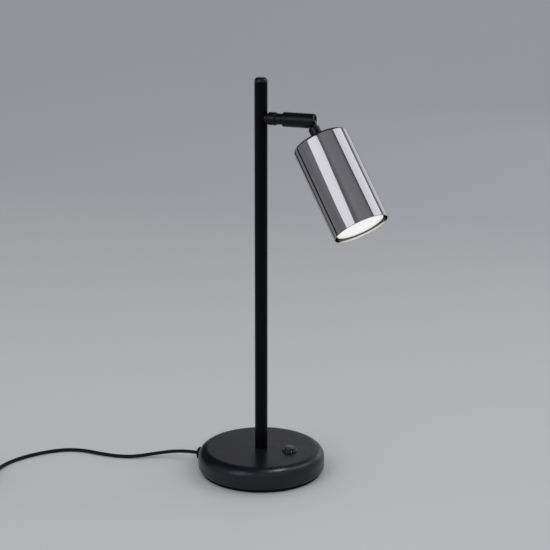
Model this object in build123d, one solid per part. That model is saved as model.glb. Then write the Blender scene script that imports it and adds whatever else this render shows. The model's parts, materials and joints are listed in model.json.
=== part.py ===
from build123d import *
import os
from math import atan, cos, inf, pi, radians, sin, sqrt, tan

# Desk lamp: weighted round base, straight pole, short swivel arm, tilting tubular head.
# Origin: centre of the base's underside. +Z up, +X along the arm. Millimetres.

# Fits
fit = 0.05
loose = 0.3
small_edge = 0.5
small_slot_width = 0.6
small_slot_depth = 0.7
overcut = 1.0

# Base
base_radius = 68.0
base_height = 26.0
cover_wall = 1.5
cover_edge_radius = 10.5
cover_foot_radius = 4.0
pad_thickness = 3.0
pad_setback = 3.5
weight_thickness = 10.0

# Pole and the stud that holds it to the base
pole_radius = 6.75
pole_wall = 1.5
pole_top = 424.5
cap_height = 4.7
cap_edge_radius = 3.8
cap_stem_length = 10.0
stud_wall = 2.2
stud_reach = 22.0
stud_end_gap = 0.8
stud_nut_width = 14.0
stud_nut_height = 3.0
stud_washer_radius = 10.0
stud_washer_thickness = 1.3
stud_washer_room = 2.0
stud_recess_depth = 5.5
spacer_radius = 8.0
wire_slot_width = 4.6
wire_slot_land = 0.75
wire_slot_drop = 3.0

# Arm: its axis below the pole's top, and its pieces from the pole outwards
arm_drop = 41.5
insert_length = 15.0
stub_radius = 4.0
stub_depth = 4.1
collar_radius = 6.7
collar_stand = 1.6
collar_length = 7.35
collar_round = 1.2
collar_foot_radius = 5.0
collar_foot_gap = 0.2
swivel_washer_thickness = 0.4
swivel_washer_setback = 0.4
flange_thickness = 1.1
neck_radius = 5.7
neck_length = 6.9
spindle_radius = 4.0
thread_length = 7.0
barrel_radius = 7.5
barrel_length = 33.9
barrel_edge = 0.8
barrel_end_round = 1.2
groove_depth = 0.9
groove_width = 2.4
groove_place = 1.5
rib_width = 1.0
grub_radius = 1.5
grub_tip_radius = 1.0
grub_setback = 0.2
grub_tip_gap = 0.2

# Hinge at the end of the arm
hinge_to_barrel_end = 4.8
hinge_pin_radius = 1.5
hinge_pin_wall = 1.3
hinge_pin_gap = 0.1
hinge_pin_recess = 0.4
tongue_radius = 4.6
tongue_thickness = 4.7
tongue_side_gap = 0.15
tongue_end_gap = 0.4
arm_wire_gap = 1.0
swivel_rest = 20.5
tilt_rest = 57.3

# Head, measured along its own axis from the hinge pin
head_neck_gap = 0.37
head_neck_length = 14.45
head_neck_radius = 6.0
head_neck_floor = 1.5
head_thread_radius = 5.0
head_thread_length = 9.0
shade_length = 101.0
shade_wall = 1.0
shade_edge_radius = 3.0
bracket_thickness = 1.2
bracket_width = 12.0
bracket_span = 26.0
bracket_foot = 8.0
head_washer_radius = 9.0
head_washer_thickness = 1.0
head_nut_height = 4.0
holder_radius = 12.0
holder_height = 15.0
holder_screw_offset = 8.0
lamp_recess = 3.0
lamp_length = 47.0
lamp_radius = 25.2
lamp_side_gap = 3.1
lamp_rim_wall = 0.5
lamp_base_radius = 12.0
lamp_base_length = 7.5
lamp_base_edge = 1.0
lens_thickness = 1.2
lens_recess = 0.3
lamp_pin_offset = 5.0
lamp_pin_length = 7.5
lamp_pin_radius = 2.5
lamp_pin_shank_radius = 1.5
lamp_pin_head = 2.5
lamp_profile = [(0.58, 0.25), (0.80, 0.48), (0.94, 0.72), (1.0, 0.88)]

# Push switch on the base
switch_offset = 32.6
bezel_radius = 8.0
bezel_height = 1.8
bezel_round = 0.8
bezel_lip = 1.1
switch_under_gap = 6.0
switch_floor = 9.0
switch_pocket_margin = 3.0
switch_nut_margin = 1.6
switch_nut_height = 2.5
button_radius = 5.6
button_height = 2.2
button_skirt = 4.2
button_stem_radius = 2.0
button_travel = 2.2
button_crown = 0.6
button_edge = 0.5
spring_wire_radius = 0.25
spring_turns = 4
spring_room = 1.2
terminal_spacing = 5.2
terminal_width = 2.2
terminal_thickness = 0.6
terminal_length = 4.5

# Cord, its outlet and the wiring
cord_diameter = 3.8
outlet_floor_gap = 0.3
outlet_stand = 6.0
outlet_disc_radius = 6.5
outlet_disc_thickness = 2.4
outlet_shoulder_radius = 5.2
outlet_neck_radius = 4.4
outlet_lip_length = 4.0
outlet_round = 0.8
cord_level_run = 10.0
cord_climb_run = 10.0
wire_diameter = 2.8
switch_wire_diameter = 1.6
duct_gap = 0.5
pole_wire_gap = 0.4
wire_low_bend = 4.5
wire_high_bend = 3.4
block_length = 12.0
block_width = 16.0
block_height = 9.0
block_setback = 29.8
block_corner = 1.0
terminal_margin = 3.0
terminal_screw_height = 3.0
clamp_gap = 0.8
clamp_length = 6.0
clamp_cheek = 2.1
clamp_ear_gap = 0.6
clamp_ear_margin = 0.2
clamp_strap = 1.6
screw_radius = 1.25
screw_head_radius = 2.6
screw_head_height = 2.0
screw_slot = 0.8
screw_grip = 5.0

# Switch wires: along from the terminal block, past the pole's stud, down beside the switch
wire_low_level = -1.8
wire_high_level = 1.4
wire_straight = 9.0
wire_pass = 6.0
wire_turn = 4.0
wire_step = 1.0
wire_beside = 1.5
wire_shoulder = 3.0
wire_end_drop = 2.5

# Coil of spare cord, its tie and the plug
coil_distance = 213.0
coil_y = -146.0
coil_inner_radius = 17.0
coil_turns = 10
coil_layer_pairs = 2
coil_gap = 0.5
coil_climb = 0.5
table_gap = 0.05
tie_thickness = 0.6
tie_width = 6.0
tie_gap = 0.4
tie_corner = 1.0
tail_side = 50.5
tail_back = 43.0
tail_run_out = 18.0
tail_run_in = 14.0
coil_run_in = 22.0
lead_level_run = 14.0
plug_length = 34.0
plug_width = 35.3
plug_height = 13.7
plug_nose_width = 26.0
plug_tail_radius = 4.2
plug_tail_length = 12.0
plug_tail_wall = 0.9
plug_shoulder = 10.0
plug_nose_length = 8.0
plug_corner = 2.5
plug_edge = 1.5
plug_pin_tip = 1.2
plug_pin_radius = 2.0
plug_pin_length = 19.0
plug_pin_spacing = 18.6

# Places that follow from the sizes above
cover_inner_top = base_height - cover_wall
weight_top = pad_thickness + weight_thickness
pad_radius = base_radius - pad_setback
opening_radius = base_radius - cover_foot_radius
arm_height = pole_top - arm_drop
pole_bore = pole_radius - pole_wall
stud_radius = pole_bore - 2 * fit
stud_bore = stud_radius - stud_wall
pole_end = pole_top - cap_height
collar_start = pole_radius + collar_stand
collar_end = collar_start + collar_length
groove_radius = spindle_radius - groove_depth
groove_middle = collar_start + groove_place + groove_width / 2
flange_start = collar_end + swivel_washer_thickness
neck_start = flange_start + flange_thickness
barrel_start = neck_start + neck_length
barrel_end = barrel_start + barrel_length
hinge_place = barrel_end - hinge_to_barrel_end
round_place = sqrt((hinge_to_barrel_end - barrel_end_round) ** 2 + (barrel_radius - barrel_end_round) ** 2)
head_neck_start = round_place + barrel_end_round + head_neck_gap
head_neck_end = head_neck_start + head_neck_length
shade_radius = lamp_radius + lamp_side_gap + shade_wall
wire_radius = wire_diameter / 2
wire_bore = wire_radius + duct_gap
cord_radius = cord_diameter / 2
outlet_height = pad_thickness + outlet_shoulder_radius + outlet_floor_gap
outlet_reach = base_radius + outlet_stand
cord_bed = weight_top + cord_radius + 2 * fit
block_start = block_setback - base_radius
block_end = block_start + block_length
clamp_place = block_start - clamp_gap - clamp_length / 2
clamp_bridge = cord_radius + clamp_cheek
clamp_ear = clamp_bridge + clamp_ear_gap + screw_head_radius
clamp_width = 2 * (clamp_ear + screw_head_radius + clamp_ear_margin)
terminal_row = block_width / 2 - terminal_margin
switch_barrel_radius = bezel_radius - bezel_lip
switch_bottom = pad_thickness + switch_under_gap
switch_pocket_radius = bezel_radius + switch_pocket_margin
switch_nut_width = 2 * (switch_barrel_radius + switch_nut_margin)
wire_height = weight_top + (cover_inner_top - weight_top) / 2
shade_start = head_neck_end
shade_end = shade_start + shade_length
bracket_start = shade_start + shade_wall
lens_front = shade_end - lamp_recess
lamp_start = lens_front - lamp_length
holder_start = lamp_start - holder_height
coil_pitch = cord_diameter + coil_gap
coil_layers = 2 * coil_layer_pairs
coil_turns_per_layer = coil_turns / coil_layers
coil_x = -outlet_reach - coil_distance
coil_outer_radius = coil_inner_radius + coil_turns_per_layer * coil_pitch
coil_floor = tie_thickness + tie_gap + cord_radius
coil_top = coil_floor + (coil_layers - 1) * coil_pitch
cord_rest = cord_radius + table_gap
plug_middle = plug_height / 2
stub_start = pole_radius - stub_depth

# The arm's plane: Z along the arm, X along the hinge pin. The head's plane: Z along the shade.
arm_plane = Plane(
    origin=(0, 0, arm_height),
    x_dir=(0, cos(radians(swivel_rest)), -sin(radians(swivel_rest))),
    z_dir=(1, 0, 0),
)
head_direction = arm_plane.z_dir * cos(radians(tilt_rest)) - arm_plane.y_dir * sin(radians(tilt_rest))
hinge_point = arm_plane.origin + arm_plane.z_dir * hinge_place
head_plane = Plane(origin=hinge_point, x_dir=arm_plane.x_dir, z_dir=head_direction)
collar_plane = Plane(origin=(0, 0, arm_height), x_dir=(0, 1, 0), z_dir=(1, 0, 0))
outlet_plane = Plane(origin=(0, 0, outlet_height), x_dir=(0, 1, 0), z_dir=(-1, 0, 0))


def rod(radius, low, high, x=0, y=0):
    """A cylinder along Z between two heights."""
    return Pos(x, y, low) * Cylinder(radius, high - low, align=(Align.CENTER, Align.CENTER, Align.MIN))


def ring(outer, inner, low, high, x=0, y=0):
    """A tube along Z between two heights."""
    return rod(outer, low, high, x, y) - rod(inner, low, high, x, y)


def block(x_low, x_high, y_low, y_high, z_low, z_high):
    """A box between two corners."""
    size = (x_high - x_low, y_high - y_low, z_high - z_low)
    return Pos(x_low, y_low, z_low) * Box(*size, align=(Align.MIN, Align.MIN, Align.MIN))


def spun(points):
    """A solid turned about Z from a profile of radius and height pairs."""
    return revolve(Plane.XZ * make_face(Polyline(*points, close=True)), Axis.Z)


def hex_nut(width, bore, low, high, x=0):
    """A hexagon nut of the given width across flats."""
    outline = RegularPolygon(width / 2, 6, major_radius=False) - Circle(bore)
    return Pos(x, 0, low) * extrude(outline, high - low)


def screw(x, y, seat, grip, head_radius=screw_head_radius, head_height=screw_head_height):
    """A cheese-head screw pointing down from its seat."""
    body = rod(screw_radius, seat - grip, seat, x, y) + rod(head_radius, seat, seat + head_height, x, y)
    half = screw_slot / 2
    top = seat + head_height
    return body - block(x - head_radius, x + head_radius, y - half, y + half, top - screw_slot, top)


def corner_radii(points, share=0.45):
    """For each inner point, the arc that takes the same share of its shorter run."""
    radii = []
    for before, here, after in zip(points, points[1:], points[2:]):
        first = Vector(*here) - Vector(*before)
        second = Vector(*after) - Vector(*here)
        turn = radians(first.get_angle(second))
        radii.append(share * min(first.length, second.length) / tan(turn / 2))
    return radii


def tube(points, radius, bends=None):
    """A round tube along straight runs joined by tangent arcs."""
    path = FilletPolyline(*points, radius=bends or corner_radii(points))
    section = Plane(origin=points[0], z_dir=Vector(*points[1]) - Vector(*points[0])) * Circle(radius)
    return sweep(section, path)


def grown(points, reach):
    """The same route with both ends pushed out by reach, for cutting a duct."""
    start = Vector(*points[0]) + (Vector(*points[0]) - Vector(*points[1])).normalized() * reach
    end = Vector(*points[-1]) + (Vector(*points[-1]) - Vector(*points[-2])).normalized() * reach
    return [tuple(start), *points[1:-1], tuple(end)]


# Routes of the wiring inside the lamp
cord_inner_route = [
    (-outlet_reach, 0, outlet_height),
    (cord_level_run - base_radius, 0, outlet_height),
    (cord_level_run + cord_climb_run - base_radius, 0, cord_bed),
    (block_start, 0, cord_bed),
]
pole_wire_route = [
    (block_end, 0, wire_height),
    (0, 0, wire_height),
    (0, 0, arm_height),
    (collar_start - pole_wire_gap, 0, arm_height),
]
pole_wire_bends = [wire_low_bend, wire_high_bend]


def base_cover():
    outer = rod(base_radius, pad_thickness, base_height)
    outer = fillet(outer.edges().sort_by(Axis.Z)[-1], cover_edge_radius)
    outer = fillet(outer.edges().sort_by(Axis.Z)[0], cover_foot_radius)
    inner = rod(base_radius - cover_wall, pad_thickness + cover_wall, cover_inner_top)
    inner = fillet(inner.edges().sort_by(Axis.Z)[-1], cover_edge_radius - cover_wall)
    inner = fillet(inner.edges().sort_by(Axis.Z)[0], cover_foot_radius - cover_wall)
    inner += rod(opening_radius, pad_thickness, pad_thickness + 2 * cover_wall)
    cover = outer - inner
    cover -= rod(stud_radius + fit, cover_inner_top, base_height)
    cover -= rod(switch_barrel_radius + fit, cover_inner_top, base_height, switch_offset)
    cover -= outlet_plane * rod(outlet_neck_radius + fit, opening_radius - overcut, base_radius + overcut)
    return cover


def base_weight():
    notch_width = 2 * (outlet_shoulder_radius + loose)
    weight = rod(opening_radius - loose, pad_thickness, weight_top)
    weight -= rod(stud_radius + fit, pad_thickness, weight_top)
    weight -= rod(stud_washer_radius + stud_washer_room, pad_thickness, pad_thickness + stud_recess_depth)
    weight -= rod(switch_pocket_radius, pad_thickness, weight_top, switch_offset)
    notch_end = clamp_place - clamp_length / 2
    weight -= block(-opening_radius, notch_end, -notch_width / 2, notch_width / 2, pad_thickness, weight_top)
    for x, y in inner_screw_places():
        weight -= rod(screw_radius + fit, weight_top - screw_grip - overcut, weight_top, x, y)
    return weight


def inner_screw_places():
    """The two cord-clamp screws and the terminal block's screw."""
    return [(clamp_place, clamp_ear), (clamp_place, -clamp_ear), (block_start + block_length / 2, 0)]


def spacer_tube():
    body = ring(spacer_radius, stud_radius + fit, weight_top, cover_inner_top)
    return body - wire_slot()


def wire_slot():
    """The opening on the cord's side that lets the wire into the stud."""
    half = wire_slot_width / 2
    return block(-spacer_radius, 0, -half, half, wire_height - wire_slot_drop, cover_inner_top - wire_slot_land)


def pole_stud():
    body = ring(stud_radius, stud_bore, pad_thickness + stud_end_gap, base_height + stud_reach)
    return body - wire_slot()


def stud_washer():
    top = pad_thickness + stud_recess_depth
    return ring(stud_washer_radius, stud_radius + fit, top - stud_washer_thickness, top)


def stud_nut():
    top = pad_thickness + stud_recess_depth - stud_washer_thickness
    return hex_nut(stud_nut_width, stud_radius + fit, top - stud_nut_height, top)


def pole():
    body = ring(pole_radius, pole_bore, base_height, pole_end)
    return body - collar_plane * rod(stub_radius + fit, 0, pole_radius + overcut)


def pole_cap():
    head = rod(pole_radius, pole_end, pole_top)
    head = fillet(head.edges().sort_by(Axis.Z)[-1], cap_edge_radius)
    stem = rod(pole_bore - fit, pole_end - cap_stem_length, pole_end)
    return head + stem


def pole_insert():
    body = rod(pole_bore - fit, arm_height - insert_length / 2, arm_height + insert_length / 2)
    body -= collar_plane * rod(stub_radius + fit, stub_start, pole_radius)
    return body - tube(grown(pole_wire_route, overcut), wire_bore, pole_wire_bends)


def arm_collar():
    body = rod(collar_radius, collar_start, collar_end)
    body = fillet(body.edges().group_by(Axis.Z)[0], collar_round)
    body = collar_plane * (body + rod(collar_foot_radius, stub_start, collar_start))
    body -= rod(pole_radius + collar_foot_gap, arm_height - 2 * collar_radius, arm_height + 2 * collar_radius)
    body += collar_plane * rod(stub_radius, stub_start, collar_start)
    body -= collar_plane * rod(wire_bore, stub_start, collar_start)
    body -= collar_plane * rod(spindle_radius + fit, collar_start, collar_end)
    return body - grub_hole()


def grub_hole():
    return Pos(groove_middle, 0, arm_height) * rod(grub_radius + fit, -collar_radius, -groove_radius)


def swivel_grub_screw():
    """Keeps the spindle in, and stops it against the rib left in the spindle's groove."""
    low = grub_setback - collar_radius
    half = small_slot_width / 2
    body = rod(grub_radius, low, -spindle_radius - loose)
    body += rod(grub_tip_radius, -spindle_radius - loose, -groove_radius - grub_tip_gap)
    body -= block(-grub_radius, grub_radius, -half, half, low, low + small_slot_depth)
    return Pos(groove_middle, 0, arm_height) * body


def swivel_washer():
    outer = collar_radius - swivel_washer_setback
    return arm_plane * ring(outer, spindle_radius + fit, collar_end, flange_start)


def arm_neck():
    flange = rod(collar_radius, flange_start, neck_start)
    flange = chamfer(flange.edges().group_by(Axis.Z)[-1], small_edge)
    body = flange + rod(spindle_radius, collar_start, flange_start)
    body += rod(neck_radius, neck_start, barrel_start)
    body += rod(spindle_radius, barrel_start, barrel_start + thread_length)
    half = groove_width / 2
    groove = ring(spindle_radius + overcut, groove_radius, groove_middle - half, groove_middle + half)
    rib = block(-rib_width / 2, rib_width / 2, 0, spindle_radius + overcut, collar_start, collar_end)
    body -= groove - rib
    body -= rod(wire_bore, collar_start, barrel_start + thread_length)
    return arm_plane * body


def joint_barrel():
    body = rod(barrel_radius, barrel_start, barrel_end)
    body = chamfer(body.edges().sort_by(Axis.Z)[0], barrel_edge)
    body = fillet(body.edges().sort_by(Axis.Z)[-1], barrel_end_round)
    body -= rod(spindle_radius + fit, barrel_start, barrel_start + thread_length + fit)
    body -= rod(wire_bore, barrel_start, hinge_place)
    half = tongue_thickness / 2 + tongue_side_gap
    reach = tongue_radius + tongue_end_gap
    body -= block(-half, half, -barrel_radius, reach, hinge_place - reach, barrel_end)
    pin_hole = rod(hinge_pin_radius + fit, hinge_pin_wall - barrel_radius, barrel_radius)
    return arm_plane * (body - Pos(0, 0, hinge_place) * Rot(0, 90, 0) * pin_hole)


def hinge_pin():
    end = barrel_radius - hinge_pin_recess
    half = small_slot_width / 2
    pin = rod(hinge_pin_radius, hinge_pin_wall + hinge_pin_gap - barrel_radius, end)
    pin -= block(-hinge_pin_radius, hinge_pin_radius, -half, half, end - small_slot_depth, end)
    return arm_plane * (Pos(0, 0, hinge_place) * Rot(0, 90, 0) * pin)


def arm_wire():
    return arm_plane * rod(wire_radius, collar_start, hinge_place - tongue_radius - arm_wire_gap)


def head_neck():
    half = tongue_thickness / 2
    body = rod(head_neck_radius, head_neck_start, head_neck_end)
    body = fillet(body.edges().sort_by(Axis.Z)[0], small_edge)
    tongue = block(-half, half, -tongue_radius, tongue_radius, 0, head_neck_start + small_edge)
    tongue += Rot(0, 90, 0) * rod(tongue_radius, -half, half)
    tongue -= Rot(0, 90, 0) * rod(hinge_pin_radius + fit, -half, half)
    body += tongue
    body += rod(head_thread_radius, head_neck_end, head_neck_end + head_thread_length)
    body -= rod(wire_bore, head_neck_start + head_neck_floor, head_neck_end + head_thread_length)
    return head_plane * body


def shade():
    outer = rod(shade_radius, shade_start, shade_end)
    outer = fillet(outer.edges().sort_by(Axis.Z)[0], shade_edge_radius)
    inner = rod(shade_radius - shade_wall, bracket_start, shade_end)
    inner = fillet(inner.edges().sort_by(Axis.Z)[0], shade_edge_radius - shade_wall)
    body = outer - inner - rod(head_thread_radius + fit, shade_start, bracket_start)
    return head_plane * body


def holder_bracket():
    half = bracket_span / 2
    side = bracket_width / 2
    foot_start = holder_start - bracket_thickness
    body = block(-half, half, -side, side, bracket_start, bracket_start + bracket_thickness)
    for sign in (-1, 1):
        leg_x = sorted((sign * half, sign * (half - bracket_thickness)))
        body += block(*leg_x, -side, side, bracket_start, holder_start)
        foot_x = sorted((sign * half, sign * (half - bracket_foot)))
        body += block(*foot_x, -side, side, foot_start, holder_start)
        body -= rod(screw_radius + fit, foot_start, holder_start, sign * holder_screw_offset)
    body -= rod(head_thread_radius + fit, bracket_start, bracket_start + bracket_thickness)
    return head_plane * body


def head_washer():
    low = bracket_start + bracket_thickness
    return head_plane * ring(head_washer_radius, head_thread_radius + fit, low, low + head_washer_thickness)


def head_nut():
    low = bracket_start + bracket_thickness + head_washer_thickness
    return head_plane * hex_nut(stud_nut_width, head_thread_radius + fit, low, low + head_nut_height)


def lamp_holder():
    body = rod(holder_radius, holder_start, lamp_start)
    pin_hole_floor = lamp_start - lamp_pin_length - loose
    for sign in (-1, 1):
        screw_end = holder_start + screw_grip + small_edge
        body -= rod(screw_radius + fit, holder_start, screw_end, sign * holder_screw_offset)
        body -= rod(lamp_pin_radius + loose, pin_hole_floor, lamp_start, 0, sign * lamp_pin_offset)
    return head_plane * body


def holder_screws():
    seat = -(holder_start - bracket_thickness)
    pair = [screw(sign * holder_screw_offset, 0, seat, screw_grip) for sign in (-1, 1)]
    return head_plane * (Rot(180, 0, 0) * Compound(pair))


def lamp_body():
    rim = lamp_radius - lamp_rim_wall
    seat = lens_front - lens_recess - lens_thickness
    profile = [
        (0, lamp_start),
        (lamp_base_radius - lamp_base_edge, lamp_start),
        (lamp_base_radius, lamp_start + lamp_base_edge),
        (lamp_base_radius, lamp_start + lamp_base_length),
    ]
    profile += [(across * lamp_radius, lamp_start + along * lamp_length) for across, along in lamp_profile]
    profile += [(lamp_radius, lens_front), (rim, lens_front), (rim, seat), (0, seat)]
    return head_plane * spun(profile)


def lamp_lens():
    front = lens_front - lens_recess
    return head_plane * rod(lamp_radius - lamp_rim_wall - fit, front - lens_thickness, front)


def lamp_pins():
    pins = []
    foot = lamp_start - lamp_pin_length
    for sign in (-1, 1):
        pin = rod(lamp_pin_shank_radius, foot, lamp_start, 0, sign * lamp_pin_offset)
        pins.append(pin + rod(lamp_pin_radius, foot, foot + lamp_pin_head, 0, sign * lamp_pin_offset))
    return head_plane * Compound(pins)


def head_wire():
    low = head_neck_start + head_neck_floor + small_edge
    return head_plane * rod(wire_radius, low, holder_start)


def switch_housing():
    bezel = rod(bezel_radius, base_height, base_height + bezel_height, switch_offset)
    bezel = fillet(bezel.edges().sort_by(Axis.Z)[-1], bezel_round)
    barrel = rod(switch_barrel_radius, switch_bottom, base_height, switch_offset)
    cavity = rod(button_radius + loose, base_height - switch_floor, base_height + bezel_height, switch_offset)
    stem_low = base_height - button_skirt / 2 - switch_floor - button_travel - loose
    stem_hole = rod(button_stem_radius + loose, stem_low, base_height, switch_offset)
    return bezel + barrel - cavity - stem_hole


def switch_button():
    low = base_height + bezel_height - button_skirt
    top = base_height + bezel_height + button_height
    ball = (button_radius ** 2 + button_crown ** 2) / (2 * button_crown)
    cap = rod(button_radius, low, top + button_crown, switch_offset)
    cap &= Pos(switch_offset, 0, top + button_crown - ball) * Sphere(ball)
    rims = cap.edges().filter_by(lambda edge: edge.is_closed)
    cap = fillet(rims.sort_by(Axis.Z)[-1], button_edge)
    stem = rod(button_stem_radius, base_height - button_skirt / 2 - switch_floor, low, switch_offset)
    return cap + stem


def switch_spring():
    low = base_height - switch_floor
    high = base_height + bezel_height - button_skirt
    length = high - low - 2 * spring_wire_radius
    helix = Helix(length / spring_turns, length, button_stem_radius + spring_room)
    path = Pos(switch_offset, 0, low + spring_wire_radius) * helix
    return sweep(Plane(origin=path @ 0, z_dir=path % 0) * Circle(spring_wire_radius), path)


def switch_nut():
    return hex_nut(switch_nut_width, switch_barrel_radius + fit, cover_inner_top - switch_nut_height,
                   cover_inner_top, switch_offset)


def terminal_places():
    return [switch_offset - terminal_spacing / 2, switch_offset + terminal_spacing / 2]


def switch_terminals():
    low = switch_bottom - terminal_length
    side = terminal_width / 2
    half = terminal_thickness / 2
    return Compound([block(x - side, x + side, -half, half, low, switch_bottom) for x in terminal_places()])


def switch_wires():
    near, far = terminal_places()
    low = wire_height + wire_low_level
    high = wire_height + wire_high_level
    lane = spacer_radius + wire_pass
    turn = spacer_radius + wire_turn
    beside = switch_barrel_radius + wire_beside
    shoulder = switch_bottom + wire_shoulder
    end = switch_bottom - wire_end_drop
    inner = [
        (block_end, terminal_row, low),
        (block_end + wire_straight, terminal_row, low),
        (-spacer_radius, lane, low),
        (turn, lane + wire_step, low),
        (near - 2.5 * wire_step, beside + 2.6 * wire_step, low - 0.6 * wire_step),
        (near, beside, shoulder),
        (near, switch_barrel_radius, end),
        (near, terminal_thickness / 2, end),
    ]
    outer = [
        (block_end, terminal_row, high),
        (block_end + wire_straight, terminal_row, high),
        (-spacer_radius, lane + wire_step, high),
        (turn + 2 * wire_step, lane + 3.5 * wire_step, high),
        (far - 4 * wire_step, beside + 5.1 * wire_step, wire_height),
        (far, beside + 0.6 * wire_step, shoulder + 0.5 * wire_step),
        (far, switch_barrel_radius, end),
        (far, terminal_thickness / 2, end),
    ]
    return Compound([tube(route, switch_wire_diameter / 2) for route in (inner, outer)])


def terminal_block():
    half = block_width / 2
    body = block(block_start, block_end, -half, half, weight_top, weight_top + block_height)
    body = fillet(body.edges().filter_by(Axis.Z), block_corner)
    middle = block_start + block_length / 2
    body -= rod(screw_radius + loose, weight_top, weight_top + block_height, middle)
    body -= rod(screw_head_radius + loose, weight_top + block_height / 2, weight_top + block_height, middle)
    for x, y in terminal_screw_places():
        body -= rod(screw_radius + loose, weight_top + block_height / 2, weight_top + block_height, x, y)
    return body


def terminal_screw_places():
    return [(x, y) for x in (block_start + terminal_margin, block_end - terminal_margin)
            for y in (-terminal_row, terminal_row)]


def terminal_screws():
    low = weight_top + block_height / 2
    top = low + terminal_screw_height
    half = small_slot_width / 2
    radius = screw_radius + loose - fit
    screws = []
    for x, y in terminal_screw_places():
        slot = block(x - radius, x + radius, y - half, y + half, top - small_slot_depth, top)
        screws.append(rod(radius, low, top, x, y) - slot)
    return Compound(screws)


def cord_clamp():
    half = clamp_length / 2
    low = clamp_place - half
    high = clamp_place + half
    side = clamp_width / 2
    bore = cord_radius + fit
    body = block(low, high, -clamp_bridge, clamp_bridge, weight_top, cord_bed + cord_radius + clamp_strap)
    body += block(low, high, -side, side, weight_top, weight_top + clamp_strap)
    body -= Pos(clamp_place, 0, cord_bed) * Rot(0, 90, 0) * rod(bore, -half, half)
    body -= block(low, high, -bore, bore, weight_top, cord_bed)
    for x, y in inner_screw_places()[:2]:
        body -= rod(screw_radius + fit, weight_top, weight_top + clamp_strap, x, y)
    return body


def inner_screws():
    clamp_seat = weight_top + clamp_strap
    block_seat = weight_top + block_height / 2
    places = inner_screw_places()
    screws = [screw(x, y, clamp_seat, screw_grip + clamp_strap) for x, y in places[:2]]
    x, y = places[2]
    screws.append(screw(x, y, block_seat, screw_grip + block_height / 2))
    return Compound(screws)


def cord_outlet(cover):
    """A rubber outlet: disc outside, shoulder on the wall, neck through it, lip inside."""
    disc = rod(outlet_disc_radius, outlet_reach - outlet_disc_thickness, outlet_reach)
    disc = fillet(disc.edges(), outlet_round)
    inner_wall = base_radius - cover_wall
    lip_start = inner_wall - outlet_lip_length
    body = disc + rod(outlet_shoulder_radius, inner_wall, outlet_reach - outlet_disc_thickness)
    body += rod(outlet_neck_radius, lip_start, outlet_reach - outlet_disc_thickness)
    body += rod(outlet_shoulder_radius, lip_start, inner_wall)
    body -= rod(cord_radius + fit, 0, outlet_reach)
    return outlet_plane * body - cover


# Cord on the table, from the outlet's face: leaves level, comes down, wanders, and turns to the coil.
# Each free point is given from the outlet, with its height above the cord's own rest on the table.
lead_points = [
    (32, -2.8, 4.65),
    (50, -10.0, 1.85),
    (67, -21.0, 0.25),
    (86, -26.6, 0),
    (108, -26.4, 0),
    (130, -24.2, 0),
    (150, -30.0, 0),
    (167, -45.5, 0),
    (180, -64.0, 0),
    (189, -86.0, 0),
    (189.5, -108.0, 0.35),
]
coil_side = coil_x + coil_outer_radius
lead_route = [(-outlet_reach, 0, outlet_height), (-outlet_reach - lead_level_run, 0, outlet_height)]
lead_route += [(-outlet_reach - along, side, cord_rest + rise) for along, side, rise in lead_points]
lead_route += [(coil_side, coil_y + coil_run_in, coil_floor), (coil_side, coil_y + cord_diameter, coil_floor)]
tail_route = [
    (coil_side, coil_y - cord_diameter, coil_top),
    (coil_side, coil_y - tail_run_out, coil_top),
    (coil_side - 3, coil_y - 35, plug_middle + 4.35),
    (coil_side - 13, coil_y - 47, plug_middle + 0.75),
    (coil_side - tail_back + tail_run_in, coil_y - tail_side, plug_middle),
    (coil_side - tail_back, coil_y - tail_side, plug_middle),
]


def coil_point(turn):
    """A point of the coil: the radius runs in and out, and each reversal climbs one layer."""
    period = 2 * coil_turns_per_layer
    phase = turn % period
    inward = phase if phase < coil_turns_per_layer else period - phase
    radius = coil_outer_radius - coil_pitch * inward
    height = coil_floor
    for layer in range(1, coil_layers):
        climb = (turn - layer * coil_turns_per_layer) / coil_climb + 0.5
        height += coil_pitch * min(max(climb, 0), 1)
    angle = -2 * pi * turn
    return Vector(coil_x + radius * cos(angle), coil_y + radius * sin(angle), height)


def coil_direction(turn, step=0.02):
    if turn <= 0 or turn >= coil_turns:
        return Vector(0, -1, 0)
    return (coil_point(turn + step) - coil_point(turn - step)).normalized()


def tangent_arc(start, corner, end):
    """The arc that leaves start towards corner and arrives at end from corner."""
    middle = (start + end) / 2
    rise = corner - middle
    half_chord = (end - start).length / 2
    sagitta = half_chord * tan(atan(rise.length / half_chord) / 2)
    return ThreePointArc(start, middle + rise.normalized() * sagitta, end)


def biarc(start, leaving, end, arriving):
    """Two tangent arcs between two points with given directions."""
    gap = end - start
    both = leaving + arriving
    a = both.dot(both) - 4
    b = -2 * gap.dot(both)
    c = gap.dot(gap)
    reach = (-b - sqrt(b * b - 4 * a * c)) / (2 * a)
    first = start + leaving * reach
    last = end - arriving * reach
    joint = (first + last) / 2
    return [tangent_arc(start, first, joint), tangent_arc(joint, last, end)]


def coil_nodes():
    count = round(coil_turns * 4)
    return [coil_turns * index / count for index in range(count + 1)]


def cord_coil():
    turns = coil_nodes()
    entry = Vector(*lead_route[-1])
    leave = Vector(*tail_route[0])
    pieces = [Line(entry, coil_point(0))]
    for low, high in zip(turns, turns[1:]):
        pieces += biarc(coil_point(low), coil_direction(low), coil_point(high), coil_direction(high))
    pieces.append(Line(coil_point(coil_turns), leave))
    path = Wire(edges=[piece.edge() for piece in pieces])
    solid = sweep(Plane(origin=entry, z_dir=(0, -1, 0)) * Circle(cord_radius), path)
    print("coil length", round(path.length, 1))
    print("volume", round(solid.volume, 1), "section times length", round(path.length * pi * cord_radius ** 2, 1))
    return solid


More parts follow.
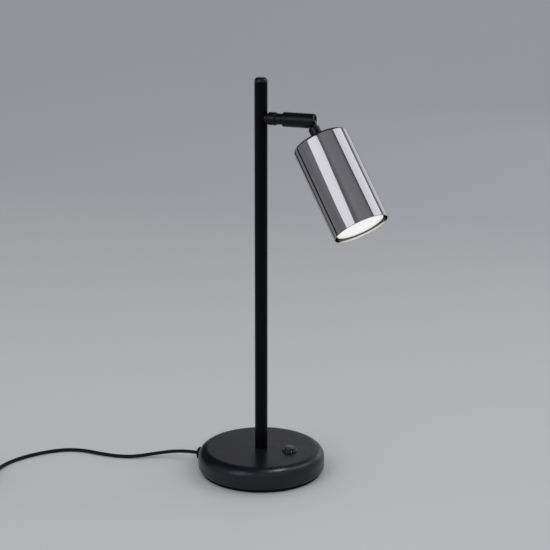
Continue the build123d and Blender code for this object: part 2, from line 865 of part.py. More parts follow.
def coil_least_gap():
    """Least gap of the coil to itself, on points at least half a turn apart."""
    per_turn = 60
    points = [coil_point(index / per_turn) for index in range(round(coil_turns * per_turn) + 1)]
    least = inf
    for index, here in enumerate(points):
        for other in points[index + per_turn // 2:]:
            least = min(least, (here - other).length)
    return least - cord_diameter


def coil_tie():
    """A flat band round the coil's bundle, on its +Y side."""
    low = coil_inner_radius - cord_radius - tie_gap
    high = coil_outer_radius + cord_radius + tie_gap
    top = coil_top + cord_radius + tie_gap
    half = tie_width / 2
    outer = block(-half, half, low - tie_thickness, high + tie_thickness, 0, top + tie_thickness)
    outer = fillet(outer.edges().filter_by(Axis.X), tie_corner + tie_thickness)
    inner = block(-half, half, low, high, tie_thickness, top)
    inner = fillet(inner.edges().filter_by(Axis.X), tie_corner)
    return Pos(coil_x, coil_y, 0) * (outer - inner)


def plug_frame():
    end = tail_route[-1]
    return Plane(origin=end, x_dir=(0, 1, 0), z_dir=(-1, 0, 0))


def plug_body():
    """A flat two-pin plug: its tail takes the cord, its nose carries the pins."""
    side = plug_width / 2
    nose = plug_nose_width / 2
    end = plug_tail_length + plug_length
    right = [
        (plug_tail_radius, plug_tail_length),
        (side, plug_tail_length + plug_shoulder),
        (side, end - plug_nose_length),
        (nose, end),
    ]
    left = [(-x, z) for x, z in reversed(right)]
    slab = extrude(Plane.XZ * make_face(Polyline(*right, *left, close=True)), plug_middle, both=True)
    slab = fillet(slab.edges().filter_by(Axis.Y), plug_corner)
    slab = fillet(slab.edges().group_by(Axis.Y)[-1] + slab.edges().group_by(Axis.Y)[0], plug_edge)
    tail = Cone(cord_radius + plug_tail_wall, plug_tail_radius, plug_tail_length + overcut,
                align=(Align.CENTER, Align.CENTER, Align.MIN))
    return plug_frame() * (slab + tail)


def plug_pins():
    low = plug_tail_length + plug_length
    pins = []
    for sign in (-1, 1):
        pin = rod(plug_pin_radius, low, low + plug_pin_length, sign * plug_pin_spacing / 2)
        pins.append(fillet(pin.edges().sort_by(Axis.Z)[-1], plug_pin_tip))
    return plug_frame() * Compound(pins)


def report_route(name, points, solid):
    """Prints a tube's arcs, and its volume beside its section times its length."""
    radii = corner_radii(points)
    length = FilletPolyline(*points, radius=radii).length
    print(name, "radii", [round(value, 1) for value in radii], "length", round(length, 1))
    print("volume", round(solid.volume, 1), "section times length", round(length * pi * cord_radius ** 2, 1))


cover = base_cover()
nodes = {
    "base_pad": rod(pad_radius, 0, pad_thickness),
    "base_weight": base_weight(),
    "base_cover": cover,
    "spacer_tube": spacer_tube(),
    "pole_stud": pole_stud(),
    "stud_washer": stud_washer(),
    "stud_nut": stud_nut(),
    "pole": pole(),
    "pole_cap": pole_cap(),
    "pole_insert": pole_insert(),
    "arm_collar": arm_collar(),
    "swivel_grub_screw": swivel_grub_screw(),
    "cord_outlet": cord_outlet(cover),
    "cord_inner": tube(cord_inner_route, cord_radius),
    "cord_clamp": cord_clamp(),
    "inner_screws": inner_screws(),
    "terminal_block": terminal_block(),
    "terminal_screws": terminal_screws(),
    "pole_wire": tube(pole_wire_route, wire_radius, pole_wire_bends),
    "switch_wires": switch_wires(),
    "switch_housing": switch_housing(),
    "switch_nut": switch_nut(),
    "switch_terminals": switch_terminals(),
    "switch_spring": switch_spring(),
    "switch_button": switch_button(),
    "swivel_washer": swivel_washer(),
    "arm_neck": arm_neck(),
    "joint_barrel": joint_barrel(),
    "hinge_pin": hinge_pin(),
    "arm_wire": arm_wire(),
    "head_neck": head_neck(),
    "shade": shade(),
    "holder_bracket": holder_bracket(),
    "head_washer": head_washer(),
    "head_nut": head_nut(),
    "lamp_holder": lamp_holder(),
    "holder_screws": holder_screws(),
    "lamp_body": lamp_body(),
    "lamp_lens": lamp_lens(),
    "lamp_pins": lamp_pins(),
    "head_wire": head_wire(),
    "cord_lead": tube(lead_route, cord_radius),
    "cord_coil": cord_coil(),
    "coil_tie": coil_tie(),
    "cord_tail": tube(tail_route, cord_radius),
    "plug_body": plug_body(),
    "plug_pins": plug_pins(),
}

report_route("cord lead", lead_route, nodes["cord_lead"])
report_route("cord tail", tail_route, nodes["cord_tail"])
print("coil least gap", round(coil_least_gap(), 2))
print("hinge point", tuple(round(v, 3) for v in hinge_point))
print("hinge axis", tuple(round(v, 5) for v in arm_plane.x_dir))
print("head axis", tuple(round(v, 5) for v in head_direction))

os.makedirs("parts", exist_ok=True)
for name, shape in nodes.items():
    export_step(shape, f"parts/{name}.step")
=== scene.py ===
import json
from math import cos, pi, radians, sin

import bpy
from mathutils import Matrix, Vector


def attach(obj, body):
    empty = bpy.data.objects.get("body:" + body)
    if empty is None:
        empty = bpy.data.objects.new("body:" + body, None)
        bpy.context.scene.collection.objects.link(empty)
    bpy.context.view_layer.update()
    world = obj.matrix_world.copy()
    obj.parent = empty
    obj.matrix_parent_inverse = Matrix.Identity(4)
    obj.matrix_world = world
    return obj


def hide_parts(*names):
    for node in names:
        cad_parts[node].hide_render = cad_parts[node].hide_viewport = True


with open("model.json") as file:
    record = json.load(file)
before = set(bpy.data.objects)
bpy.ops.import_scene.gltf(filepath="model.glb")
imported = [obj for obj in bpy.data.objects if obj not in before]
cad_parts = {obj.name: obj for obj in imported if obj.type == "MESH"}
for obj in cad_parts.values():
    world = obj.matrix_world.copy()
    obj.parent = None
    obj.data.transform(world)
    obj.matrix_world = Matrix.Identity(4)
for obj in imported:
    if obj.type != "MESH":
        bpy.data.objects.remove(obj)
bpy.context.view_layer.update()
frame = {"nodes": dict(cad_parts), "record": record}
nodes = frame["nodes"]
millimetre = 0.001
print("frame loaded:", len(nodes), "nodes")

# Camera: its place is given round the pole's foot, and its aim by small turns from there
cameraView = {
    "distance": 1.5154,
    "height": 0.6231,
    "azimuth": 21.3,
    "yaw": 0.548,
    "pitch": 14.98,
    "roll": 0.09,
    "lens": 98.18,  # millimetres
}


def makeCamera(view):
    yaw, pitch = radians(view["yaw"]), radians(view["pitch"])
    ahead = Vector((sin(yaw) * cos(pitch), cos(yaw) * cos(pitch), -sin(pitch)))
    right = Vector((cos(yaw), -sin(yaw), 0))
    above = right.cross(ahead)
    axes = Matrix((right, above, -ahead)).transposed()
    turn = Matrix.Rotation(radians(view["azimuth"]), 3, "Z")
    axes = turn @ axes @ Matrix.Rotation(radians(view["roll"]), 3, "Z")
    data = bpy.data.cameras.new("camera")
    data.lens = view["lens"]
    camera = bpy.data.objects.new("camera", data)
    place = turn @ Vector((0, -view["distance"], 0)) + Vector((0, 0, view["height"]))
    camera.matrix_world = Matrix.Translation(place) @ axes.to_4x4()
    bpy.context.collection.objects.link(camera)
    bpy.context.scene.camera = camera


makeCamera(cameraView)
print("camera placed")


# Node helpers, shared by the finishes, the shade's shape and the studio
def newFinish(name, **sockets):
    material = bpy.data.materials.new(name)
    material.use_nodes = True
    tree = material.node_tree
    shader = next(node for node in tree.nodes if node.type == "BSDF_PRINCIPLED")
    for key, value in sockets.items():
        shader.inputs[key].default_value = value
    return material, tree, shader


def addNode(tree, kind, feeds=None, **settings):
    node = tree.nodes.new(kind)
    for key, value in settings.items():
        if key in node.inputs:
            node.inputs[key].default_value = value
        else:
            setattr(node, key, value)
    for key, source in (feeds or {}).items():
        if isinstance(source, bpy.types.NodeSocket):
            tree.links.new(source, node.inputs[key])
        else:
            node.inputs[key].default_value = source
    return node


def addMath(tree, operation, first, second):
    return addNode(tree, "ShaderNodeMath", {0: first, 1: second}, operation=operation).outputs[0]


def lengthOf(tree, vector):
    return addNode(tree, "ShaderNodeVectorMath", {0: vector}, operation="LENGTH").outputs["Value"]


def objectPlace(tree):
    return addNode(tree, "ShaderNodeTexCoord").outputs["Object"]


def noise(tree, place, scale, detail):
    return addNode(tree, "ShaderNodeTexNoise", {"Vector": place}, Scale=scale, Detail=detail).outputs["Fac"]


def spread(tree, value, low, high, fromLow=0.3, fromHigh=0.7, **settings):
    feeds = {"Value": value, "From Min": fromLow, "From Max": fromHigh, "To Min": low, "To Max": high}
    return addNode(tree, "ShaderNodeMapRange", feeds, **settings).outputs["Result"]


def blendValues(tree, value, first, second):
    return addNode(tree, "ShaderNodeMix", {0: value, 2: first, 3: second}, data_type="FLOAT").outputs[0]


def blendColours(tree, value, first, second):
    first = first if isinstance(first, bpy.types.NodeSocket) else (*first, 1)
    return addNode(tree, "ShaderNodeMix", {0: value, 6: first, 7: (*second, 1)}, data_type="RGBA").outputs[2]


def addBump(tree, shader, height, depth):
    bump = addNode(tree, "ShaderNodeBump", {"Height": height}, Distance=depth)
    tree.links.new(bump.outputs["Normal"], shader.inputs["Normal"])


# Finishes: two close colours and a range of roughness in soft patches, with a fine grain on top
patchSettings = {
    "colourScale": 60.0,
    "roughnessScale": 102.0,
    "detail": 4.0,
    "grainDetail": 2.0,
}


def grainedFinish(name, first, second, roughness, grain, depth, **sockets):
    material, tree, shader = newFinish(name, **sockets)
    place = objectPlace(tree)
    patches = noise(tree, place, patchSettings["colourScale"], patchSettings["detail"])
    tree.links.new(blendColours(tree, patches, first, second), shader.inputs["Base Color"])
    rubbed = noise(tree, place, patchSettings["roughnessScale"], patchSettings["detail"])
    tree.links.new(spread(tree, rubbed, *roughness), shader.inputs["Roughness"])
    addBump(tree, shader, noise(tree, place, grain, patchSettings["grainDetail"]), depth)
    return material


# Dark paints mirror a little bluish, as they do in the photograph
def coolGloss(level):
    return {"Specular IOR Level": level, "Specular Tint": (0.84, 0.87, 1.0, 1)}


# Finish of each slot: two colours, roughness from and to, scale of the grain and its depth in metres
finishes = {
    "satin_black": grainedFinish(
        "powderCoat", (0.0034, 0.0036, 0.0048), (0.005, 0.0053, 0.0067), (0.27, 0.34), 1500, 6e-6,
        **coolGloss(0.44)),
    "black_nickel": grainedFinish(
        "blackNickel", (0.285, 0.28, 0.302), (0.305, 0.3, 0.322), (0.035, 0.075), 500, 1e-7, Metallic=1.0),
    "pad_foam": grainedFinish(
        "padFoam", (0.004, 0.0036, 0.0036), (0.009, 0.0085, 0.0085), (0.8, 0.95), 2400, 1e-4,
        **{"Specular IOR Level": 0.1}),
    "iron": grainedFinish(
        "castIron", (0.09, 0.09, 0.09), (0.15, 0.145, 0.14), (0.5, 0.8), 900, 1e-4, Metallic=0.8),
    "zinc_steel": grainedFinish(
        "zincSteel", (0.5, 0.5, 0.52), (0.6, 0.6, 0.6), (0.25, 0.4), 1500, 1e-5, Metallic=1.0),
    "black_rubber": grainedFinish(
        "cordJacket", (0.004, 0.004, 0.005), (0.008, 0.008, 0.009), (0.42, 0.55), 1800, 1e-5,
        **coolGloss(0.16)),
    "switch_wire": grainedFinish(
        "wireInsulation", (0.2, 0.09, 0.04), (0.28, 0.13, 0.07), (0.4, 0.5), 1800, 1e-5),
    "black_plastic": grainedFinish(
        "mouldedBlack", (0.009, 0.009, 0.01), (0.015, 0.015, 0.016), (0.4, 0.55), 1600, 3e-5),
    "switch_plastic": grainedFinish(
        "switchPlastic", (0.009, 0.009, 0.011), (0.014, 0.014, 0.017), (0.16, 0.24), 700, 2e-6,
        **coolGloss(0.8)),
    "white_nylon": grainedFinish(
        "whiteNylon", (0.74, 0.73, 0.69), (0.8, 0.79, 0.75), (0.4, 0.55), 900, 1e-5),
    "ceramic": grainedFinish(
        "holderCeramic", (0.7, 0.68, 0.63), (0.78, 0.76, 0.71), (0.2, 0.35), 500, 2e-5),
    "lamp_white": grainedFinish(
        "lampShell", (0.76, 0.76, 0.74), (0.82, 0.82, 0.8), (0.3, 0.42), 900, 1e-5),
    "brass_plated": grainedFinish(
        "platedBrass", (0.62, 0.58, 0.5), (0.7, 0.66, 0.58), (0.18, 0.3), 700, 3e-6, Metallic=1.0),
}

# Finishes that differ a little from their slot's on single pieces
armBlack = grainedFinish(
    "armBlack", (0.0036, 0.0037, 0.0048), (0.005, 0.0052, 0.0066), (0.26, 0.32), 1500, 5e-6,
    **coolGloss(0.19))
ownFinishes = {
    # The pole's finish is the powder coat painted darker and less shiny: painted shade for the little light
    # its upright sides catch
    "pole": grainedFinish(
        "poleBlackPaintedShade", (0.0018, 0.0019, 0.0026), (0.0028, 0.0029, 0.0038), (0.28, 0.34), 1500, 5e-6,
        **coolGloss(0.08)),
    "arm_collar": armBlack,
    "arm_neck": armBlack,
    "joint_barrel": armBlack,
    "head_neck": grainedFinish(
        "glossBlack", (0.002, 0.002, 0.0026), (0.0034, 0.0034, 0.0042), (0.12, 0.17), 1200, 2e-6,
        **coolGloss(0.21)),
    # The switch's cap is the switch plastic painted lighter and bluer: a painted sheen for the light its top
    # mirrors
    "switch_button": grainedFinish(
        "switchCapPaintedSheen", (0.024, 0.0225, 0.031), (0.03, 0.028, 0.038), (0.16, 0.24), 700, 2e-6,
        **coolGloss(0.8)),
}
# Inside of the shade: a lighter, warm plated metal. Part of its brightness and warmth is painted light,
# standing in for the lit face's glow on the inner wall
innerNickelPaintedLampLight = grainedFinish(
    "innerNickelPaintedLampLight", (0.74, 0.71, 0.66), (0.8, 0.77, 0.72), (0.08, 0.11), 900, 8e-7, Metallic=1.0)

# Head: the hinge, the way the head points, and distances along it from the hinge
headSizes = {
    "hinge": (0.0532, 0.0, 0.383),
    "direction": (0.54024, -0.29470, -0.78822),
    "shadeStart": 0.023276,
    "shadeMiddle": 0.073,
    "lensFront": 0.120976,
}
headDirection = Vector(headSizes["direction"]).normalized()
headTurn = headDirection.to_track_quat("Z", "Y").to_euler()


def alongHead(distance):
    return Vector(headSizes["hinge"]) + headDirection * distance


# Lit face of the lamp: a frosted disc that glows a little less towards its rim
faceSettings = {
    "radius": 0.0247,
    "rimFrom": 0.8,  # share of the radius
    "roughness": 0.45,
    "colour": (0.3, 0.295, 0.285),
    "rimColour": (0.26, 0.255, 0.25),
    "glowColour": (0.985, 0.985, 1.0),
    "rimGlowColour": (0.86, 0.85, 0.85),
    "glow": 0.73,
    "frostScale": 1400,
    "frostDetail": 2.0,
    "frostShift": 0.0006,
    "frostDepth": 2e-5,
}


def lampFace(settings):
    material, tree, shader = newFinish("lampFace", Roughness=settings["roughness"])
    middle = alongHead(headSizes["lensFront"])
    place = objectPlace(tree)
    frost = noise(tree, place, settings["frostScale"], settings["frostDetail"])
    fromMiddle = addNode(tree, "ShaderNodeVectorMath", {0: place, 1: middle}, operation="SUBTRACT").outputs[0]
    shift = spread(tree, frost, -settings["frostShift"], settings["frostShift"])
    reach = addMath(tree, "ADD", lengthOf(tree, fromMiddle), shift)
    rim = spread(tree, reach, 0, 1, settings["radius"] * settings["rimFrom"], settings["radius"])
    colour = blendColours(tree, rim, settings["colour"], settings["rimColour"])
    tree.links.new(colour, shader.inputs["Base Color"])
    glow = blendColours(tree, rim, settings["glowColour"], settings["rimGlowColour"])
    tree.links.new(glow, shader.inputs["Emission Color"])
    shader.inputs["Emission Strength"].default_value = settings["glow"]
    addBump(tree, shader, frost, settings["frostDepth"])
    return material


finishes["lamp_glow"] = lampFace(faceSettings)
for subpart in frame["record"]["subparts"]:
    mesh = nodes[subpart["node"]].data
    mesh.materials.clear()
    mesh.materials.append(finishes[subpart["material_slot"]])
for node, finish in ownFinishes.items():
    nodes[node].data.materials[0] = finish
print("finishes given to", len(nodes), "nodes")

# Cord: the route's points in millimetres, as they lie on the table, then the coil's turns
cordSizes = {
    "diameter": 3.8,
    "coilCentre": (-287.0, -146.0),
    "coilOuterRadius": 27.75,
    "pitch": 4.3,
    "layers": 4,
    "turnsPerLayer": 2.5,
    "coilFloor": 2.9,
    "climb": 0.5,  # turns in which the cord climbs to the next layer
    "pointsPerTurn": 16,
    "length": 1.775,  # metres
    "roundSteps": 5,
    "stepsAlong": 6,
}
leadPoints = [
    (-74, 0, 8.5), (-88, 0, 8.5), (-106, -2.8, 6.6), (-124, -10, 3.8), (-141, -21, 2.2), (-160, -26.6, 1.95),
    (-182, -26.4, 1.95), (-204, -24.2, 1.95), (-224, -30, 1.95), (-241, -45.5, 1.95), (-254, -64, 1.95),
    (-263, -86, 1.95), (-263.5, -108, 2.3), (-259.25, -124, 2.9), (-259.25, -142.2, 2.9),
]
tailPoints = [
    (-259.25, -149.8, 15.8), (-259.25, -164, 15.8), (-262.25, -181, 11.2), (-272.25, -193, 7.6),
    (-288.25, -196.5, 6.85), (-302.25, -196.5, 6.85),
]


def coilPoints(sizes):
    perLayer, layers = sizes["turnsPerLayer"], sizes["layers"]
    steps = round(perLayer * layers * sizes["pointsPerTurn"])
    points = []
    for step in range(steps + 1):
        turn = step / sizes["pointsPerTurn"]
        phase = turn % (2 * perLayer)
        inward = min(phase, 2 * perLayer - phase)
        radius = sizes["coilOuterRadius"] - sizes["pitch"] * inward
        height = sizes["coilFloor"]
        for layer in range(1, layers):
            climb = (turn - layer * perLayer) / sizes["climb"] + 0.5
            height += sizes["pitch"] * min(max(climb, 0), 1)
        angle = -2 * pi * turn
        x, y = sizes["coilCentre"]
        points.append((x + radius * cos(angle), y + radius * sin(angle), height))
    return points


def makeCord(sizes):
    points = leadPoints + coilPoints(sizes) + tailPoints
    curve = bpy.data.curves.new("mains_cord", "CURVE")
    curve.dimensions = "3D"
    curve.bevel_depth = sizes["diameter"] / 2 * millimetre
    curve.bevel_resolution = sizes["roundSteps"]
    curve.use_fill_caps = True
    line = curve.splines.new("NURBS")
    line.points.add(len(points) - 1)
    for spot, point in zip(line.points, points):
        spot.co = (*(Vector(point) * millimetre), 1)
    line.order_u = 3
    line.use_endpoint_u = True
    line.resolution_u = sizes["stepsAlong"]
    curve.materials.append(finishes["black_rubber"])
    cord = bpy.data.objects.new("mains_cord", curve)
    bpy.context.collection.objects.link(cord)
    return cord


cord = makeCord(cordSizes)
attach(cord, "stand")
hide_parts("cord_lead", "cord_coil", "cord_tail")
print("cord laid")

# Shade: one rounded wall profile turned round the head's axis; the holds are edges beside a rounding
shadeSizes = {
    "Radius": 0.0293,
    "Length": 0.101,
    "Wall": 0.001,
    "Shoulder": 0.003,
    "Shoulder Hold": 0.0004,
    "Lip": 0.0003,
    "Lip Hold": 0.0003,
    "Hole": 0.0052,
    "Round Steps": 8,
    "Steps": 192,
}


def newTree(name, sizes):
    tree = bpy.data.node_groups.new(name, "GeometryNodeTree")
    for key, value in sizes.items():
        kind = "NodeSocketInt" if isinstance(value, int) else "NodeSocketFloat"
        tree.interface.new_socket(name=key, in_out="INPUT", socket_type=kind)
    tree.interface.new_socket(name="Shape", in_out="OUTPUT", socket_type="NodeSocketGeometry")
    return tree, tree.nodes.new("NodeGroupInput").outputs, tree.nodes.new("NodeGroupOutput").inputs


# The wall's closed profile: each corner is a place across, a place along and its rounding
def shadeProfile(tree, given):
    support = addMath(tree, "ADD", given["Shoulder"], given["Shoulder Hold"])
    nearLip = addMath(tree, "SUBTRACT", given["Length"], given["Lip"])
    nearLip = addMath(tree, "SUBTRACT", nearLip, given["Lip Hold"])
    inner = addMath(tree, "SUBTRACT", given["Radius"], given["Wall"])
    innerShoulder = addMath(tree, "SUBTRACT", given["Shoulder"], given["Wall"])
    flat = addMath(tree, "SUBTRACT", given["Radius"], support)
    corners = [
        (given["Hole"], 0, 0),
        (flat, 0, 0),
        (given["Radius"], 0, given["Shoulder"]),
        (given["Radius"], support, 0),
        (given["Radius"], nearLip, 0),
        (given["Radius"], given["Length"], given["Lip"]),
        (inner, given["Length"], given["Lip"]),
        (inner, nearLip, 0),
        (inner, support, 0),
        (inner, given["Wall"], innerShoulder),
        (flat, given["Wall"], 0),
        (given["Hole"], given["Wall"], 0),
    ]
    places = addNode(tree, "GeometryNodeIndexSwitch", data_type="VECTOR")
    rounds = addNode(tree, "GeometryNodeIndexSwitch", data_type="FLOAT")
    index = addNode(tree, "GeometryNodeInputIndex").outputs[0]
    for switch in (places, rounds):
        tree.links.new(index, switch.inputs[0])
        for _ in range(len(corners) - 2):  # a new switch has two items
            switch.index_switch_items.new()
    for step, (across, along, rounding) in enumerate(corners):
        offset = addMath(tree, "SUBTRACT", across, given["Radius"])
        drop = addMath(tree, "MULTIPLY", along, -1)
        spot = addNode(tree, "ShaderNodeCombineXYZ", {0: offset, 1: drop}).outputs[0]
        tree.links.new(spot, places.inputs[step + 1])
        if rounding:
            tree.links.new(rounding, rounds.inputs[step + 1])
    line = addNode(tree, "GeometryNodeMeshLine", Count=len(corners)).outputs[0]
    feeds = {"Geometry": line, "Position": places.outputs[0]}
    line = addNode(tree, "GeometryNodeSetPosition", feeds).outputs[0]
    line = addNode(tree, "GeometryNodeMeshToCurve", {"Mesh": line}).outputs[0]
    line = addNode(tree, "GeometryNodeSetSplineCyclic", {"Geometry": line, "Cyclic": True}).outputs[0]
    feeds = {"Curve": line, "Count": given["Round Steps"], "Radius": rounds.outputs[0], "Limit Radius": True}
    return addNode(tree, "GeometryNodeFilletCurve", feeds, mode="POLY").outputs[0]


# The inside lies on the hollow side of the wall's middle, measured round the shoulder's corner
def insideShade(tree, given):
    place = addNode(tree, "GeometryNodeInputPosition").outputs[0]
    x, y, z = addNode(tree, "ShaderNodeSeparateXYZ", {0: place}).outputs
    radius = lengthOf(tree, addNode(tree, "ShaderNodeCombineXYZ", {0: x, 1: y}).outputs[0])
    middle = addMath(tree, "SUBTRACT", given["Radius"], given["Shoulder"])
    across = addMath(tree, "MAXIMUM", addMath(tree, "SUBTRACT", radius, middle), 0)
    above = addMath(tree, "MAXIMUM", addMath(tree, "SUBTRACT", given["Shoulder"], z), 0)
    reach = lengthOf(tree, addNode(tree, "ShaderNodeCombineXYZ", {0: across, 1: above}).outputs[0])
    halfWall = addMath(tree, "MULTIPLY", given["Wall"], 0.5)
    return addMath(tree, "LESS_THAN", reach, addMath(tree, "SUBTRACT", given["Shoulder"], halfWall))


def makeShadeTree(sizes, outside, inside):
    tree, given, result = newTree("turnedShade", sizes)
    feeds = {"Resolution": given["Steps"], "Radius": given["Radius"]}
    path = addNode(tree, "GeometryNodeCurvePrimitiveCircle", feeds).outputs[0]
    feeds = {"Curve": path, "Profile Curve": shadeProfile(tree, given)}
    wall = addNode(tree, "GeometryNodeCurveToMesh", feeds).outputs[0]
    wall = addNode(tree, "GeometryNodeSetShadeSmooth", {0: wall}).outputs[0]
    wall = addNode(tree, "GeometryNodeRealizeInstances", {0: wall}).outputs[0]
    wall = addNode(tree, "GeometryNodeSetMaterial", {"Geometry": wall, "Material": outside}).outputs[0]
    feeds = {"Geometry": wall, "Selection": insideShade(tree, given), "Material": inside}
    wall = addNode(tree, "GeometryNodeSetMaterial", feeds).outputs[0]
    tree.links.new(wall, result[0])
    return tree


def shapedByNodes(name, tree, sizes, place, turn):
    piece = bpy.data.objects.new(name, bpy.data.meshes.new(name))
    bpy.context.collection.objects.link(piece)
    modifier = piece.modifiers.new("shape", "NODES")
    modifier.node_group = tree
    for socket in tree.interface.items_tree:
        if socket.in_out == "INPUT":
            modifier[socket.identifier] = sizes[socket.name]
    evaluated = piece.evaluated_get(bpy.context.evaluated_depsgraph_get())
    mesh = bpy.data.meshes.new_from_object(evaluated)
    piece.modifiers.clear()
    mesh.transform(Matrix.LocRotScale(place, turn, None))
    piece.data = mesh
    return piece


shadeTree = makeShadeTree(shadeSizes, finishes["black_nickel"], innerNickelPaintedLampLight)
shade = shapedByNodes("turned_shade", shadeTree, shadeSizes, alongHead(headSizes["shadeStart"]), headTurn)
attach(shade, "head")
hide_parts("shade")
print("shade turned:", len(shade.data.polygons), "faces")

# Floor: wide and pale. What mirrors it sees it dark far off at the camera's side, and the camera
# sees it cooler and darker behind the lamp
floorSettings = {
    "radius": 14.0,
    "sides": 96,
    "roughness": 0.7,
    "colour": (0.55, 0.555, 0.56),
    "patchScale": 2.0,
    "patchDetail": 2.0,
    "patchShare": 0.985,  # how bright the darker patches are
    "mirroredColour": (0.03, 0.03, 0.032),
    "mirroredAlongX": (-1.4, -0.9),
    "mirroredAlongY": (-1.0, -1.6),
    "behindColour": (0.44, 0.455, 0.485),
    "behindAlongY": (0.2, 1.3),
}


def makeFloor(settings):
    sides, radius = settings["sides"], settings["radius"]
    angles = [2 * pi * side / sides for side in range(sides)]
    rim = [(radius * cos(angle), radius * sin(angle), 0) for angle in angles]
    mesh = bpy.data.meshes.new("floor")
    mesh.from_pydata(rim, [], [tuple(range(sides))])
    material, tree, shader = newFinish("paleFloor", Roughness=settings["roughness"])
    place = objectPlace(tree)
    x, y, _ = addNode(tree, "ShaderNodeSeparateXYZ", {0: place}).outputs
    rays = addNode(tree, "ShaderNodeLightPath").outputs
    darker = [channel * settings["patchShare"] for channel in settings["colour"]]
    patches = noise(tree, place, settings["patchScale"], settings["patchDetail"])
    colour = blendColours(tree, patches, darker, settings["colour"])
    mirrored = addMath(tree, "MULTIPLY", spread(tree, x, 0, 1, *settings["mirroredAlongX"]),
                       spread(tree, y, 0, 1, *settings["mirroredAlongY"]))
    mirrored = addMath(tree, "MULTIPLY", mirrored, rays["Is Glossy Ray"])
    colour = blendColours(tree, mirrored, colour, settings["mirroredColour"])
    behind = spread(tree, y, 0, 1, *settings["behindAlongY"])
    behind = addMath(tree, "MULTIPLY", behind, rays["Is Camera Ray"])
    colour = blendColours(tree, behind, colour, settings["behindColour"])
    tree.links.new(colour, shader.inputs["Base Color"])
    mesh.materials.append(material)
    floor = bpy.data.objects.new("floor", mesh)
    bpy.context.collection.objects.link(floor)


# Sky: even light on all pieces. What mirrors it sees it fall off towards the top, with a glow
# and a dark corner, each at an azimuth and elevation in degrees
skySettings = {
    "colour": (0.985, 0.99, 1.0),
    "light": 0.68,
    "seen": 0.3,  # straight from the camera, past the floor's edge
    "mirrored": 0.42,
    "mirroredTop": 0.07,
    "topReach": (0.42, 0.85),
    "glow": 0.39,
    "glowPlace": (45, 50),
    "glowReach": (0.79, 0.97),
    "corner": 0.05,
    "cornerPlace": (-118, 25),
    "cornerReach": (0.74, 0.9),
}


def skyDirection(azimuth, elevation):
    azimuth, elevation = radians(azimuth), radians(elevation)
    return sin(azimuth) * cos(elevation), -cos(azimuth) * cos(elevation), sin(elevation)


def softStep(tree, value, low, high, reach):
    return spread(tree, value, low, high, *reach, interpolation_type="SMOOTHSTEP")


def makeSky(settings):
    world = bpy.data.worlds.new("studio")
    world.use_nodes = True
    tree = world.node_tree
    background = next(node for node in tree.nodes if node.type == "BACKGROUND")
    direction = addNode(tree, "ShaderNodeTexCoord").outputs["Generated"]
    rays = addNode(tree, "ShaderNodeLightPath").outputs

    def towards(place):
        feeds = {0: direction, 1: skyDirection(*place)}
        return addNode(tree, "ShaderNodeVectorMath", feeds, operation="DOT_PRODUCT").outputs["Value"]

    height = addNode(tree, "ShaderNodeSeparateXYZ", {0: direction}).outputs[2]
    upper = softStep(tree, height, settings["mirrored"], settings["mirroredTop"], settings["topReach"])
    glow = softStep(tree, towards(settings["glowPlace"]), 0, settings["glow"], settings["glowReach"])
    corner = softStep(tree, towards(settings["cornerPlace"]), 1, settings["corner"], settings["cornerReach"])
    inMirrors = addMath(tree, "MULTIPLY", addMath(tree, "ADD", upper, glow), corner)
    isMirrored = addMath(tree, "MAXIMUM", rays["Is Glossy Ray"], rays["Is Transmission Ray"])
    level = blendValues(tree, isMirrored, settings["light"], inMirrors)
    level = blendValues(tree, rays["Is Camera Ray"], level, settings["seen"])
    tree.links.new(level, background.inputs["Strength"])
    background.inputs["Color"].default_value = (*settings["colour"], 1)
    bpy.context.scene.world = world


# Strip lamps: the shade mirrors them as its bright stripes, and the third lights it from behind
stripLamps = {
    "stripLeft": {
        "place": (-0.411, -1.082, 0.886),
        "across": (0.825, -0.523, -0.214),
        "size": (0.561, 0.98),
        "level": 1.82,
    },
    "stripRight": {
        "place": (0.981, 0.568, 1.233),
        "across": (-0.184, 0.888, -0.421),
        "size": (1.0, 0.62),
        "level": 1.82,
    },
    "stripBack": {
        "place": (0.78, 2.38, 0.77),
        "across": (0.961, -0.276, 0),
        "size": (1.06, 0.9),
        "level": 0.82,
    },
}


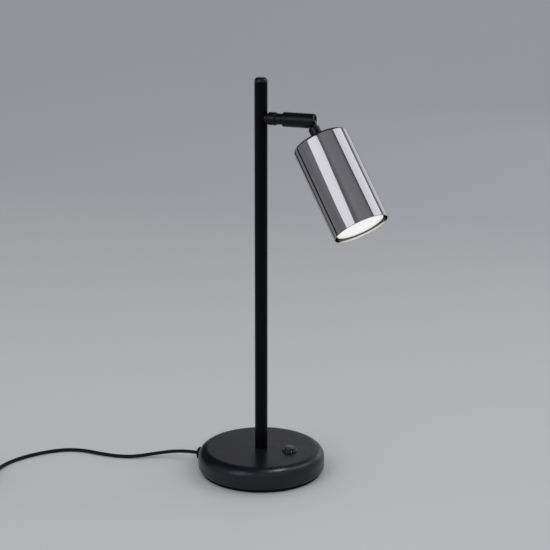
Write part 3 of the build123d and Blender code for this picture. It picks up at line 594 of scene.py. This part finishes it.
def addStripLamp(name, strip, facing):
    data = bpy.data.lights.new(name, "AREA")
    data.shape = "RECTANGLE"
    data.size, data.size_y = strip["size"]
    data.energy = strip["level"] * pi * data.size * data.size_y
    lamp = bpy.data.objects.new(name, data)
    back = (Vector(strip["place"]) - facing).normalized()
    across = Vector(strip["across"])
    side = (across - across.dot(back) * back).normalized()
    axes = Matrix((side, back.cross(side), back)).transposed()
    lamp.matrix_world = Matrix.Translation(strip["place"]) @ axes.to_4x4()
    bpy.context.collection.objects.link(lamp)
    lamp.visible_camera = False


# Glint: the lit face's own shine on the paint, at distances along the head, seen only in reflections
glintSettings = {
    "place": 0.127,
    "facing": 0.4,
    "size": 0.05,
    "level": 48.0,
}


def addGlint(settings):
    place, facing = alongHead(settings["place"]), alongHead(settings["facing"])
    data = bpy.data.lights.new("lampGlint", "AREA")
    data.shape = "DISK"
    data.size = settings["size"]
    data.energy = settings["level"] * pi * settings["size"] ** 2
    lamp = bpy.data.objects.new("lampGlint", data)
    turn = (place - facing).to_track_quat("Z", "Y").to_matrix().to_4x4()
    lamp.matrix_world = Matrix.Translation(place) @ turn
    bpy.context.collection.objects.link(lamp)
    lamp.visible_camera = lamp.visible_diffuse = lamp.visible_transmission = False


# Card: dark, beside the lamp, seen only in reflections as the thin line near the shade's left edge
cardSizes = {
    "middle": (-0.588, -0.03, 0.107),
    "top": (-0.621, -0.015, 0.167),
    "width": 0.11,
    "length": 0.24,
}


def makeCard(sizes, facing):
    middle = Vector(sizes["middle"])
    along = (Vector(sizes["top"]) - middle).normalized()
    across = along.cross(facing - middle).normalized()
    along, across = along * sizes["length"] / 2, across * sizes["width"] / 2
    corners = [middle + across * a + along * b for a, b in ((-1, -1), (1, -1), (1, 1), (-1, 1))]
    mesh = bpy.data.meshes.new("card")
    mesh.from_pydata(corners, [], [(0, 1, 2, 3)])
    mesh.materials.append(grainedFinish(
        "darkCard", (0.01, 0.01, 0.011), (0.014, 0.014, 0.015), (0.8, 0.9), 40, 1e-4))
    card = bpy.data.objects.new("card", mesh)
    bpy.context.collection.objects.link(card)
    card.visible_camera = card.visible_diffuse = card.visible_shadow = False


shadeMiddle = alongHead(headSizes["shadeMiddle"])
makeFloor(floorSettings)
makeSky(skySettings)
for name, strip in stripLamps.items():
    addStripLamp(name, strip, shadeMiddle)
makeCard(cardSizes, shadeMiddle)
addGlint(glintSettings)
bpy.context.scene.view_settings.view_transform = "Standard"
print("studio lit")
